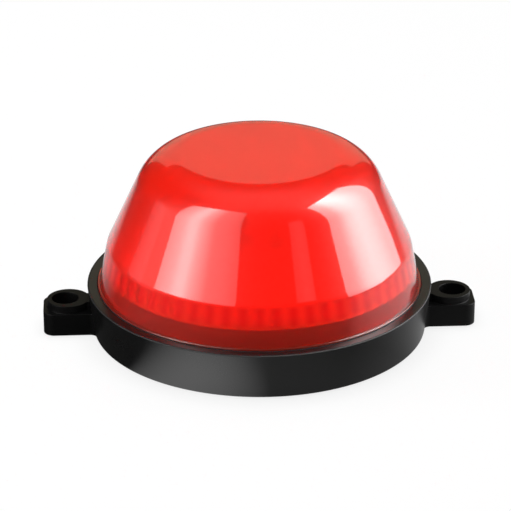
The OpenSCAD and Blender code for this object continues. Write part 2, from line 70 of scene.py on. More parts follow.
def clearPicks(piece):  # the piece is active, with nothing in its mesh selected
    workOn(piece)
    for group in (piece.data.vertices, piece.data.edges, piece.data.polygons):
        group.foreach_set("select", [False] * len(group))


def startEdit(kind):
    bpy.ops.object.mode_set(mode="EDIT")
    bpy.ops.mesh.select_mode(type=kind)


def openEdit(piece, kind, test):  # edit mode with only the verts, edges or faces that pass the test
    clearPicks(piece)
    mesh = piece.data
    spots = [v.co / mm for v in mesh.vertices]
    if kind == "VERT":
        for v in mesh.vertices:
            v.select = test(spots[v.index])
    if kind == "EDGE":
        for e in mesh.edges:
            e.select = all(test(spots[i]) for i in e.vertices)
    if kind == "FACE":
        for f in mesh.polygons:
            f.select = test(f.center / mm)
    startEdit(kind)


def closeEdit():
    bpy.ops.object.mode_set(mode="OBJECT")


def everything(spot):
    return True


def settle(piece):  # puts the place into the mesh and the object at the origin
    workOn(piece)
    bpy.ops.object.transform_apply(location=True, rotation=True, scale=True)


def cleanUp(piece):
    openEdit(piece, "VERT", everything)
    bpy.ops.mesh.remove_doubles(threshold=weld["piece"])
    bpy.ops.mesh.normals_make_consistent(inside=False)
    closeEdit()


def tracePath(name, points):  # one vertex extruded from point to point and back to the first, in mm
    dropSelection()
    bpy.ops.mesh.primitive_plane_add(size=mm, location=(0, 0, 0))
    piece = bpy.context.object
    piece.name = piece.data.name = name
    startEdit("VERT")
    bpy.ops.mesh.select_all(action="SELECT")
    bpy.ops.mesh.merge(type="CENTER")
    spots = [Vector(p) * mm for p in points]
    bpy.ops.transform.translate(value=spots[0])
    for before, after in zip(spots, spots[1:] + spots[:1]):
        bpy.ops.mesh.extrude_vertices_move(TRANSFORM_OT_translate={"value": after - before})
    bpy.ops.mesh.select_all(action="SELECT")
    bpy.ops.mesh.remove_doubles(threshold=weld["path"])
    closeEdit()
    return piece


def lathe(name, section, steps):  # section is (radius, height) in mm, spun once round Z
    piece = tracePath(name, [(r, 0, z) for r, z in section])
    openEdit(piece, "VERT", everything)
    bpy.ops.mesh.spin(steps=steps, angle=2 * pi, center=(0, 0, 0), axis=(0, 0, 1))
    closeEdit()
    cleanUp(piece)
    return piece


def sector(name, section, start, arc, steps, tilt=0, lift=0):  # a filled section spun through part of a turn
    piece = tracePath(name, [(r, 0, z) for r, z in section])
    openEdit(piece, "VERT", everything)
    bpy.ops.mesh.edge_face_add()
    bpy.ops.mesh.spin(steps=steps, angle=radians(arc), center=(0, 0, 0), axis=(0, 0, 1))
    closeEdit()
    piece.data.transform(Matrix.Rotation(radians(start), 4, "Z"))
    piece.data.transform(Matrix.Rotation(radians(tilt), 4, "X"))
    piece.data.transform(Matrix.Translation((0, 0, lift * mm)))
    cleanUp(piece)
    return piece


def slab(name, outline, height):  # a flat outline in mm, filled and pulled up
    piece = tracePath(name, [(x, y, 0) for x, y in outline])
    openEdit(piece, "VERT", everything)
    bpy.ops.mesh.edge_face_add()
    bpy.ops.mesh.extrude_region_move(TRANSFORM_OT_translate={"value": (0, 0, height * mm)})
    closeEdit()
    cleanUp(piece)
    return piece


def rod(name, radius, low, high, x=0, y=0, sides=64):
    dropSelection()
    bpy.ops.mesh.primitive_cylinder_add(vertices=sides, radius=radius * mm, depth=(high - low) * mm,
                                        location=(x * mm, y * mm, (low + high) / 2 * mm))
    piece = bpy.context.object
    piece.name = piece.data.name = name
    settle(piece)
    return piece


def box(r0, r1, z0, z1):  # a plain section for lathe and sector
    return [(r0, z0), (r1, z0), (r1, z1), (r0, z1)]


def arcPoints(x, y, radius, first, last, steps):
    turns = [radians(first + (last - first) * i / steps) for i in range(steps + 1)]
    return [(x + radius * cos(t), y + radius * sin(t)) for t in turns]


def turnedCopy(piece, name, angle):
    copy = piece.copy()
    copy.data = piece.data.copy()
    copy.name = copy.data.name = name
    bpy.context.collection.objects.link(copy)
    copy.data.transform(Matrix.Rotation(radians(angle), 4, "Z"))
    return copy


def addModifier(piece, kind, **settings):
    workOn(piece)
    bpy.ops.object.modifier_add(type=kind)
    modifier = piece.modifiers[-1]
    for key, value in settings.items():
        setattr(modifier, key, value)
    bpy.ops.object.modifier_apply(modifier=modifier.name)


def combine(piece, other, operation):
    addModifier(piece, "BOOLEAN", operation=operation, object=other, solver="EXACT")
    bpy.data.objects.remove(other)


def joinTo(piece, others):
    workOn(piece)
    for other in others:
        other.select_set(True)
    bpy.ops.object.join()


def bevelWhere(piece, test, width, segments=3):
    openEdit(piece, "EDGE", test)
    bpy.ops.mesh.bevel(offset=width * mm, segments=segments, affect="EDGES", clamp_overlap=True)
    closeEdit()


def softenEdges(piece, width, segments=3):
    addModifier(piece, "BEVEL", width=width * mm, segments=segments, limit_method="ANGLE",
                angle_limit=radians(shading["softAngle"]), use_clamp_overlap=True)


def smooth(piece, angle=shading["smoothAngle"]):
    workOn(piece)
    bpy.ops.object.shade_smooth_by_angle(angle=radians(angle))
    addModifier(piece, "WEIGHTED_NORMAL", keep_sharp=True, weight=shading["faceWeight"])


def near(spot, radius=None, height=None, slack=0.05):
    rightRadius = radius is None or abs(spot.xy.length - radius) < slack
    rightHeight = height is None or abs(spot.z - height) < slack
    return rightRadius and rightHeight


def finished(piece, body, slot, finish, *stoodFor):
    piece.data.materials.clear()
    piece.data.materials.append(finish)
    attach(piece, body)
    if stoodFor:
        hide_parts(*stoodFor)


# shader wires

class Wire:
    def __init__(self, tree, socket=None):
        self.tree, self.socket = tree, socket

    def node(self, kind, settings=None, sockets=None, out=0):
        made = self.tree.nodes.new(kind)
        for key, value in (settings or {}).items():
            if key == "stops":
                ramp = made.color_ramp.elements
                while len(ramp) < len(value):
                    ramp.new(0.5)
                for stop, (position, colour) in zip(ramp, value):
                    stop.position, stop.color = position, colour
            else:
                setattr(made, key, value)
        for key, value in (sockets or {}).items():
            if isinstance(value, Wire):
                self.tree.links.new(value.socket, made.inputs[key])
            else:
                made.inputs[key].default_value = value
        return Wire(self.tree, made.outputs[out] if made.outputs else None)  # an output node has none

    def sum(self, operation, a, b=0.0):
        return self.node("ShaderNodeMath", {"operation": operation}, {0: a, 1: b})

    def __add__(self, other):
        return self.sum("ADD", self, other)

    __radd__ = __add__

    def __sub__(self, other):
        return self.sum("SUBTRACT", self, other)

    def __rsub__(self, other):
        return self.sum("SUBTRACT", other, self)

    def __mul__(self, other):
        return self.sum("MULTIPLY", self, other)

    __rmul__ = __mul__

    def __truediv__(self, other):
        return self.sum("DIVIDE", self, other)

    def __rtruediv__(self, other):
        return self.sum("DIVIDE", other, self)

    def __pow__(self, other):
        return self.sum("POWER", self, other)

    def __rpow__(self, other):
        return self.sum("POWER", other, self)

    def __gt__(self, other):
        return self.sum("GREATER_THAN", self, other)

    def __lt__(self, other):
        return self.sum("LESS_THAN", self, other)

    def __abs__(self):
        return self.sum("ABSOLUTE", self)


def startFinish(name):
    finish = bpy.data.materials.new(name)
    finish.use_nodes = True
    finish.node_tree.nodes.clear()
    return finish, Wire(finish.node_tree).node("ShaderNodeTexCoord", out="Object")


def closeFinish(place, sockets):
    shader = place.node("ShaderNodeBsdfPrincipled", None, sockets, "BSDF")
    place.node("ShaderNodeOutputMaterial", None, {"Surface": shader})


def rgb(r, g, b):
    return (r, g, b, 1.0)


def grey(level):
    return rgb(level, level, level)


def speckle(place, scale, detail=2.0, rough=0.5):
    return place.node("ShaderNodeTexNoise", None,
                      {"Vector": place, "Scale": scale, "Detail": detail, "Roughness": rough}, "Fac")


def turned(place, angle):  # the pattern's own axes, for a piece that lies at an angle
    return place.node("ShaderNodeMapping", {"vector_type": "TEXTURE"},
                      {"Vector": place, "Rotation": (0, 0, radians(angle))})


def axisOf(place, letter):
    return place.node("ShaderNodeSeparateXYZ", None, {"Vector": place}, letter)


def between(share, first, second):
    return share.node("ShaderNodeMix", {"data_type": "RGBA"}, {0: share, 6: first, 7: second}, 2)


def bumps(height, strength, depth):
    return height.node("ShaderNodeBump", None,
                       {"Strength": strength, "Distance": depth * mm, "Height": height})


def clamped(wire):  # kept from 0 to 1
    return wire.node("ShaderNodeClamp", None, {"Value": wire})


# finishes

moulded = {"cloudDetail": 3.0, "gritDetail": 2.0, "cloudShare": 0.7, "gritShare": 0.3, "gritSwing": 0.5}


def mouldedFinish(name, dark, light, rough, grain, patch=60, swing=0.1, strength=0.25, depth=0.03,
                  wear=None, **fixed):
    finish, place = startFinish(name)
    cloud = speckle(place, patch, moulded["cloudDetail"])
    grit = speckle(place, grain, moulded["gritDetail"])
    roughness = rough + (cloud - 0.5) * swing + (grit - 0.5) * swing * moulded["gritSwing"]
    if wear:
        roughness = roughness + wear(place)
    closeFinish(place, {
        "Base Color": between(cloud * moulded["cloudShare"] + grit * moulded["gritShare"], dark, light),
        "Roughness": roughness, "Normal": bumps(grit, strength, depth), **fixed})
    return finish


drawn = {"stretch": (1.0, 1.0, 0.08), "lineDetail": 4.0, "lineRough": 0.6, "stain": 220, "stainDetail": 3.0,
         "lineShare": 0.6, "stainShare": 0.4, "lineSwing": 0.25, "stainSwing": 0.1,
         "strength": 0.15, "depth": 0.02}


def metalFinish(name, dark, light, rough, lines):  # drawn or plated metal with fine lines along Z
    d = drawn
    finish, place = startFinish(name)
    streak = place.node("ShaderNodeMapping", None, {"Vector": place, "Scale": d["stretch"]})
    line = speckle(streak, lines, d["lineDetail"], d["lineRough"])
    stain = speckle(place, d["stain"], d["stainDetail"])
    closeFinish(place, {
        "Base Color": between(line * d["lineShare"] + stain * d["stainShare"], dark, light), "Metallic": 1.0,
        "Roughness": rough + (line - 0.5) * d["lineSwing"] + (stain - 0.5) * d["stainSwing"],
        "Normal": bumps(line, d["strength"], d["depth"])})
    return finish


blackLook = {"patch": 35, "swing": 0.12, "strength": 0.2, "depth": 0.03, "grain": 2600}
baseLook = {"dark": grey(0.003), "light": grey(0.006), "rough": 0.3}
# painted shade: the ears get a darker, duller copy of the base black, though they are the same plastic
earShadeLook = {"dark": grey(0.002), "light": grey(0.004), "rough": 0.42}
blackShine = {"base": 0.55, "ear": 0.12}  # the ears are duller than the wall
rimRub = {"out": 49.4, "up": 13.05, "fade": 0.2, "rough": 0.35}


def rimWear(place):  # the rim's outer edge is rubbed dull
    x, y, z = (axisOf(place, letter) for letter in "XYZ")
    out = clamped(((x * x + y * y) ** 0.5 - rimRub["out"] * mm) / (rimRub["fade"] * mm))
    return out * clamped((z - rimRub["up"] * mm) / (rimRub["fade"] * mm)) * rimRub["rough"]


def blackFinish(name, look, shine, wear=None):
    return mouldedFinish(name, wear=wear, **look, **blackLook, **{"Specular IOR Level": shine})


lensLook = {"deep": rgb(0.9, 0.022, 0.003), "bright": rgb(0.93, 0.04, 0.006), "clear": 0.8,
            "rough": 0.36, "ior": 1.25, "shine": 0.05, "coat": 1.0, "coatRough": 0.02, "coatIor": 1.5,
            "flow": 18, "flowDetail": 3.0, "flowSwing": 0.04, "haze": 900, "hazeSwing": 0.05,
            "strength": 0.02, "depth": 0.4,
            "ribs": 60, "rib": rgb(0.74, 0.014, 0.002), "ribLow": 19.2, "ribHigh": 25.6, "ribFade": 1.2}


def ribShare(place):  # 1 in the middle of a rib, 0 between ribs and off the band
    x, y, z = (axisOf(place, letter) for letter in "XYZ")
    around = place.node("ShaderNodeMath", {"operation": "ARCTAN2"}, {0: y, 1: x})
    wave = 0.5 - 0.5 * place.node("ShaderNodeMath", {"operation": "COSINE"}, {0: around * lensLook["ribs"]})
    foot = clamped((z - lensLook["ribLow"] * mm) / (lensLook["ribFade"] * mm))
    head = clamped((lensLook["ribHigh"] * mm - z) / (lensLook["ribFade"] * mm))
    return wave * foot * head


def lensFinish():
    g = lensLook
    finish, place = startFinish("lensRed")
    flow = speckle(place, g["flow"], g["flowDetail"])
    haze = speckle(place, g["haze"])
    clear = between(flow, g["deep"], g["bright"])
    closeFinish(place, {
        "Base Color": between(ribShare(place), clear, g["rib"]),
        "Roughness": g["rough"] + (haze - 0.5) * g["hazeSwing"] + (flow - 0.5) * g["flowSwing"],
        "Transmission Weight": g["clear"], "IOR": g["ior"], "Specular IOR Level": g["shine"],
        "Coat Weight": g["coat"], "Coat Roughness": g["coatRough"], "Coat IOR": g["coatIor"],
        "Normal": bumps(flow, g["strength"], g["depth"])})
    return finish


glassLook = {"thick": rgb(0.93, 0.96, 1.0), "thin": rgb(0.98, 0.99, 1.0), "drawn": 300, "rough": 0.02,
             "swing": 0.03, "ior": 1.47}


def glassFinish():
    g = glassLook
    finish, place = startFinish("tubeGlass")
    flow = speckle(place, g["drawn"])
    closeFinish(place, {
        "Base Color": between(flow, g["thick"], g["thin"]),
        "Roughness": g["rough"] + flow * g["swing"], "Transmission Weight": 1.0, "IOR": g["ior"]})
    return finish


boardLook = {"dark": rgb(0.02, 0.12, 0.045), "light": rgb(0.035, 0.17, 0.065), "track": rgb(0.06, 0.26, 0.1),
             "weave": 380.0, "tracks": 90.0, "trackWide": 0.03, "rough": 0.32, "swing": 0.12,
             "clothHigh": 0.2, "strength": 0.3, "depth": 0.03, "coat": 0.4, "coatRough": 0.15}


def boardFinish():
    b = boardLook
    finish, place = startFinish("boardLaminate")
    weaveX, weaveY = (place.node("ShaderNodeTexWave", {"bands_direction": way},
                                 {"Vector": place, "Scale": b["weave"]}, "Fac") for way in "XY")
    tracks = place.node("ShaderNodeTexBrick", {"offset": 0.5},
                        {"Vector": place, "Scale": b["tracks"], "Mortar Size": b["trackWide"]}, "Fac")
    cloth = weaveX * weaveY
    lacquer = between(cloth, b["dark"], b["light"])
    closeFinish(place, {
        "Base Color": between(tracks, lacquer, b["track"]), "Roughness": b["rough"] + cloth * b["swing"],
        "Normal": bumps(tracks + cloth * b["clothHigh"], b["strength"], b["depth"]),
        "Coat Weight": b["coat"], "Coat Roughness": b["coatRough"]})
    return finish


sleeveLook = {"dark": rgb(0.012, 0.02, 0.09), "light": rgb(0.02, 0.03, 0.13), "stripe": rgb(0.55, 0.57, 0.62),
              "stripeFrom": 2.5, "wrinkle": 500, "wrinkleDetail": 3.0, "rough": 0.25, "swing": 0.12,
              "strength": 0.2, "depth": 0.05}


def sleeveFinish(low, high):  # shrink sleeve with one pale polarity stripe along the can
    s = sleeveLook
    finish, place = startFinish("capacitorSleeve")
    centre = (low + high) / 2
    side = axisOf(place, "X") - centre.x
    up = axisOf(place, "Z") - centre.z
    stripe = (side > s["stripeFrom"] * mm) * (up > 0.0)
    wrinkle = speckle(place, s["wrinkle"], s["wrinkleDetail"])
    closeFinish(place, {
        "Base Color": between(stripe, between(wrinkle, s["dark"], s["light"]), s["stripe"]),
        "Roughness": s["rough"] + wrinkle * s["swing"], "Normal": bumps(wrinkle, s["strength"], s["depth"])})
    return finish


# the gap colour is painted shade in the creases between turns of wire
windingLook = {"gap": rgb(0.2, 0.06, 0.015), "dark": rgb(0.62, 0.25, 0.08), "light": rgb(0.75, 0.36, 0.14),
               "turns": 560.0, "stray": 0.4, "strayDetail": 1.0, "enamel": 700, "metal": 0.8,
               "rough": 0.28, "swing": 0.14, "strength": 0.7, "depth": 0.12}


def windingFinish():  # turns of enamelled wire, one above the other
    w = windingLook
    finish, place = startFinish("windingCopper")
    coils = place.node("ShaderNodeTexWave", {"bands_direction": "Z", "wave_profile": "SIN"},
                       {"Vector": place, "Scale": w["turns"], "Distortion": w["stray"],
                        "Detail": w["strayDetail"]}, "Fac")
    enamel = speckle(place, w["enamel"])
    closeFinish(place, {
        # painted shade: the copper darkens to the gap colour between the turns
        "Base Color": between(coils, w["gap"], between(enamel, w["dark"], w["light"])),
        "Metallic": w["metal"], "Roughness": w["rough"] + enamel * w["swing"],
        "Normal": bumps(coils, w["strength"], w["depth"])})
    return finish


bandLook = {"lacquer": 900, "lift": 1.25, "lead": rgb(0.72, 0.71, 0.68), "swing": 0.12, "strength": 0.15,
            "depth": 0.02}


def bandedFinish(name, body, bands, angle, half, rough):  # lacquered body with painted rings, bare leads
    finish, place = startFinish(name)
    along = axisOf(turned(place, angle), "Y")
    lacquer = speckle(place, bandLook["lacquer"])
    colour = between(lacquer, body, rgb(*[min(1.0, bandLook["lift"] * c) for c in body[:3]]))
    for spot, width, paint in bands:
        ring = abs(along - spot * mm) < width * mm / 2
        colour = between(ring, colour, paint)
    metalLead = abs(along) > half * mm
    closeFinish(place, {
        "Base Color": between(metalLead, colour, bandLook["lead"]), "Metallic": metalLead,
        "Roughness": rough + lacquer * bandLook["swing"],
        "Normal": bumps(lacquer, bandLook["strength"], bandLook["depth"])})
    return finish


resistorLook = {"rings": (-2, -0.8, 0.4, 2), "ringWide": 0.7, "half": 3.2, "rough": 0.35}


def resistorFinish(name, body, paints, angle):
    rings = [(spot, resistorLook["ringWide"], paint) for spot, paint in zip(resistorLook["rings"], paints)]
    return bandedFinish(name, body, rings, angle, resistorLook["half"], resistorLook["rough"])


print("building finishes")
finishOf = {
    "base_black": blackFinish("baseBlack", baseLook, blackShine["base"], rimWear),
    "lens_red": lensFinish(),
    "gasket_rubber": mouldedFinish("gasketRubber", grey(0.008), grey(0.02), rough=0.8, grain=3200,
                                   strength=0.5, depth=0.06),
    "grommet_rubber": mouldedFinish("grommetRubber", grey(0.012), grey(0.03), rough=0.65, grain=2200,
                                    strength=0.3),
    "board_laminate": boardFinish(),
    "screw_steel": metalFinish("screwZinc", rgb(0.5, 0.5, 0.48), rgb(0.78, 0.78, 0.76),
                               rough=0.3, lines=1800),
    "reflector_white": mouldedFinish("reflectorWhite", rgb(0.74, 0.74, 0.73), rgb(0.84, 0.84, 0.83),
                                     rough=0.28, grain=1500, patch=40, strength=0.08),
    "holder_ceramic": mouldedFinish("holderCeramic", rgb(0.72, 0.69, 0.62), rgb(0.85, 0.83, 0.77),
                                    rough=0.62, grain=2600, strength=0.3),
    "tube_glass": glassFinish(),
    "electrode_metal": metalFinish("electrodeNickel", rgb(0.45, 0.44, 0.42), rgb(0.72, 0.71, 0.69),
                                   rough=0.25, lines=2400),
    "capacitor_sleeve": sleeveFinish(*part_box("storage_capacitor")),
    "ferrite": mouldedFinish("ferriteGrey", rgb(0.035, 0.035, 0.038), rgb(0.075, 0.075, 0.078),
                             rough=0.55, grain=1900, strength=0.4, depth=0.05),
    "bobbin_plastic": mouldedFinish("bobbinNylon", rgb(0.68, 0.64, 0.5), rgb(0.8, 0.77, 0.64),
                                    rough=0.45, grain=1600),
    "winding_copper": windingFinish(),
    "epoxy_black": mouldedFinish("epoxyBlack", grey(0.01), rgb(0.025, 0.025, 0.026), rough=0.5, grain=3600,
                                 strength=0.45, depth=0.04),
    "tinned_metal": metalFinish("tinPlate", rgb(0.55, 0.54, 0.5), rgb(0.8, 0.79, 0.75),
                                rough=0.35, lines=1500),
    "film_brown": mouldedFinish("filmBrown", rgb(0.26, 0.07, 0.02), rgb(0.38, 0.12, 0.04),
                                rough=0.25, grain=900, patch=120, strength=0.1),
    "film_yellow": mouldedFinish("filmYellow", rgb(0.62, 0.4, 0.04), rgb(0.76, 0.54, 0.08),
                                 rough=0.28, grain=900, patch=120, strength=0.1),
    "sounder_black": mouldedFinish("sounderBlack", rgb(0.012, 0.012, 0.013), rgb(0.03, 0.03, 0.032),
                                   rough=0.45, grain=2600),
    "disc_brass": metalFinish("discBrass", rgb(0.6, 0.4, 0.12), rgb(0.82, 0.62, 0.26),
                              rough=0.28, lines=1300),
    "piezo_ceramic": mouldedFinish("piezoSilver", rgb(0.7, 0.69, 0.64), rgb(0.82, 0.81, 0.76),
                                   rough=0.4, grain=1500),
}
brown, black, red = rgb(0.16, 0.05, 0.02), grey(0.01), rgb(0.6, 0.03, 0.02)
orange, gold = rgb(0.75, 0.2, 0.02), rgb(0.6, 0.42, 0.12)
beige, blue = rgb(0.58, 0.42, 0.24), rgb(0.2, 0.38, 0.5)
finishOfNode = {  # the angle is the one at which the piece lies on the board
    "gate_resistor": resistorFinish("gateResistor", beige, (brown, black, orange, gold), angle=30),
    "timing_resistor": resistorFinish("timingResistor", beige, (red, red, orange, gold), angle=150),
    "bleed_resistor": resistorFinish("bleedResistor", blue, (brown, black, red, gold), angle=330),
    "rectifier_diode": bandedFinish("rectifierDiode", grey(0.015), [(1.6, 0.9, grey(0.6))],
                                    angle=210, half=2.55, rough=0.4),
    "clamp_diode": bandedFinish("clampDiode", rgb(0.5, 0.14, 0.04), [(1.3, 0.7, black)],
                                angle=270, half=2.05, rough=0.12),
}
for entry in frame["record"]["subparts"]:
    name = entry["node"]
    look = finishOfNode.get(name) or finishOf[entry["material_slot"]]
    for place in nodes[name].material_slots:
        place.material = look
print("finishes given to", len(nodes), "nodes")


# base: one turned shell with slots, posts and lock lips

shell = {"foot": 48.4, "rim": 50.0, "height": 13.5, "recess": 47.0, "seat": 12.5, "collarOut": 43.0,
         "collarIn": 41.0, "collarTop": 18.2, "shelf": 10.5, "floor": 2.5, "wall": 2.4, "rimRound": 0.3,
         "rimSegments": 4, "edgeRound": 0.3, "steps": 192}
lock = {"lipIn": 42.5, "lipOut": 44.2, "lipZ": 16.52, "lipArc": 48, "lipSteps": 24, "stopArc": 4.6,
        "stopSteps": 4, "lugIn": 43.35, "lugOut": 45.0, "lugZ": 15.02, "lugArc": 38, "lugSteps": 20,
        "thick": 1.2, "tilt": 2.5, "count": 3, "round": 0.15, "roundSegments": 2}
slots = {"behind": 90, "count": 5, "step": 6.0, "wide": 1.6, "high": 5.0, "middle": 6.5, "out": 48, "deep": 7,
         "round": 0.7, "roundSegments": 4}
grommetHole = {"x": -17.25, "y": -17.25, "neck": 4.25, "flange": 6.05, "sink": 1.2, "below": -1, "above": 4,
               "sides": 60}  # 60 sides keep its corners off the shell's spokes
posts = {"radius": 3.2, "hole": 1.3, "deep": 3.2, "top": 6.0, "sunk": 0.2, "out": 34.4,
         "angles": (30, 150, 270), "sides": 48}


def wallRadius(z):
    return shell["foot"] + (shell["rim"] - shell["foot"]) * z / shell["height"]


def slotCutter(angle):
    dropSelection()
    bpy.ops.mesh.primitive_cube_add(size=mm, location=(slots["out"] * mm, 0, slots["middle"] * mm))
    cutter = bpy.context.object
    bpy.ops.transform.resize(value=(slots["deep"], slots["wide"], slots["high"]))
    settle(cutter)
    clearPicks(cutter)
    for e in cutter.data.edges:  # the four edges along X get a round
        a, b = (cutter.data.vertices[i].co for i in e.vertices)
        e.select = abs((a - b).x) > slots["deep"] * mm / 2
    startEdit("EDGE")
    bpy.ops.mesh.bevel(offset=slots["round"] * mm, segments=slots["roundSegments"], affect="EDGES")
    closeEdit()
    cutter.data.transform(Matrix.Rotation(radians(angle), 4, "Z"))
    return cutter


def makePost(angle):
    post = rod("boardPost", posts["radius"], shell["floor"] - posts["sunk"], posts["top"], sides=posts["sides"])
    openEdit(post, "FACE", lambda p: near(p, height=posts["top"]))
    bpy.ops.mesh.inset(thickness=(posts["radius"] - posts["hole"]) * mm)
    bpy.ops.mesh.extrude_region_move(TRANSFORM_OT_translate={"value": (0, 0, -posts["deep"] * mm)})
    closeEdit()
    post.data.transform(Matrix.Translation((posts["out"] * mm, 0, 0)))
    post.data.transform(Matrix.Rotation(radians(angle), 4, "Z"))
    return post


def roundTheLock(piece, name):  # one for each lug, as copies
    copies = [turnedCopy(piece, name, i * 360 / lock["count"]) for i in range(lock["count"])]
    bpy.data.objects.remove(piece)
    return copies


def makeBase():
    s = shell
    body = lathe("baseShell", [
        (0, 0), (s["foot"], 0), (s["rim"], s["height"]), (s["recess"], s["height"]), (s["recess"], s["seat"]),
        (s["collarOut"], s["seat"]), (s["collarOut"], s["collarTop"]), (s["collarIn"], s["collarTop"]),
        (s["collarIn"], s["shelf"]), (wallRadius(s["shelf"]) - s["wall"], s["shelf"]),
        (wallRadius(s["floor"]) - s["wall"], s["floor"]), (0, s["floor"])], s["steps"])
    bevelWhere(body, lambda p: near(p, s["rim"], s["height"]), s["rimRound"], s["rimSegments"])
    bevelWhere(body, lambda p: near(p, s["recess"], s["height"]), s["edgeRound"])
    bevelWhere(body, lambda p: near(p, s["foot"], 0), s["edgeRound"])
    bevelWhere(body, lambda p: near(p, None, s["collarTop"]), s["edgeRound"])
    h = grommetHole
    for radius, top in ((h["neck"], h["above"]), (h["flange"], h["sink"])):
        combine(body, rod("hole", radius, h["below"], top, h["x"], h["y"], h["sides"]), "DIFFERENCE")
    for i in range(slots["count"]):
        angle = slots["behind"] + (i - (slots["count"] - 1) / 2) * slots["step"]
        combine(body, slotCutter(angle), "DIFFERENCE")
    lip = sector("lockLip", box(lock["lipIn"], lock["lipOut"], -lock["thick"] / 2, lock["thick"] / 2),
                 -lock["lipArc"] / 2, lock["lipArc"], lock["lipSteps"], lock["tilt"], lock["lipZ"])
    stop = sector("lockStop", box(lock["lipIn"], lock["lipOut"], s["seat"], lock["lugZ"]),
                  -lock["lipArc"] / 2, lock["stopArc"], lock["stopSteps"])
    softenEdges(lip, lock["round"], lock["roundSegments"])
    extras = [makePost(angle) for angle in posts["angles"]]
    joinTo(body, extras + roundTheLock(lip, "lip") + roundTheLock(stop, "stop"))
    smooth(body)
    return body


base = makeBase()
finished(base, "base", "base_black", finishOf["base_black"], "base")
print("base shell", len(base.data.polygons), "faces")


# ears: a low step with a square end, filleted into the wall, and a round boss on it

ear = {"holeX": 56.5, "reach": 6.4, "half": 6.6, "corner": 3.2, "cornerSteps": 10, "stepH": 6.7, "bossX": 55.6,
       "bossR": 6.2, "bossH": 9.0, "bossSteps": 48, "neck": 3.1, "fillet": 2.0, "filletSteps": 12, "sink": 0.1,
       "hole": 2.0, "recess": 3.9, "seat": 3.2, "cutLow": -1, "cutHigh": 20, "round": 0.45}


def earRoot(half):  # from inside the wall, round the fillet, to the straight side
    wall, fillet = shell["foot"] - ear["sink"], ear["fillet"]
    mid = sqrt((wall + fillet) ** 2 - (half + fillet) ** 2)
    lean = atan((half + fillet) / mid)
    inner = shell["foot"] - shell["wall"] / 2
    curve = arcPoints(mid, half + fillet, fillet, 180 + degrees(lean), 270, ear["filletSteps"])
    return [(inner * cos(lean), inner * sin(lean))] + curve


def bothSides(half, onAxis=1e-6):  # points on the axis aren't repeated
    return half + [(x, -y) for x, y in reversed(half) if y > onAxis]


def makeEar():
    end, corner = ear["holeX"] + ear["reach"], ear["corner"]
    low = earRoot(ear["half"])
    low += arcPoints(end - corner, ear["half"] - corner, corner, 90, 0, ear["cornerSteps"])
    start = 180 - degrees(asin(ear["neck"] / ear["bossR"]))
    high = [(shell["foot"] - shell["wall"] / 2, ear["neck"])]
    high += arcPoints(ear["bossX"], 0, ear["bossR"], start, 0, ear["bossSteps"])
    piece = slab("earRight", bothSides(low), ear["stepH"])
    combine(piece, slab("earBoss", bothSides(high), ear["bossH"]), "UNION")
    for radius, bottom in ((ear["hole"], ear["cutLow"]), (ear["recess"], ear["seat"])):
        combine(piece, rod("earHole", radius, bottom, ear["cutHigh"], ear["holeX"]), "DIFFERENCE")
    softenEdges(piece, ear["round"])
    smooth(piece)
    return piece


earRight = makeEar()
earLeft = turnedCopy(earRight, "earLeft", 180)
# the ears' darker, duller finish is painted shade
earShadedFinish = blackFinish("earBlackShaded", earShadeLook, blackShine["ear"])
for piece in (earRight, earLeft):
    finished(piece, "base", "base_black", earShadedFinish)
print("ears", len(earLeft.data.polygons), "faces each")


# lens: a turned shell, wavy ribs inside the band, lock lugs inside the skirt

lens = {"foot": 46.6, "knee": 44.0, "low": 13.5, "band": 25.7, "top": 53.3, "lean": 24.7, "wall": 2.0,
        "shoulder": 14.1, "shoulderSteps": 16, "skirt": 44.55, "skirtTop": 18.8, "footRound": 0.2,
        "kneeRound": 0.9, "kneeShares": (-1.0, -0.6, -0.25, 0.25, 0.6, 1.0), "kneeDrop": 0.3,
        "bead": 0.35, "beadHigh": 0.6, "beadRound": 0.3, "beadSteps": 5,
        "ribs": lensLook["ribs"], "ribDeep": 0.9, "ribWave": (0, 0.15, 0.5, 0.85, 1, 0.85, 0.5, 0.15),
        "ribBelowKnee": 1.3, "ribSlack": 0.1, "wallSlack": 0.3, "smoothAngle": 30}


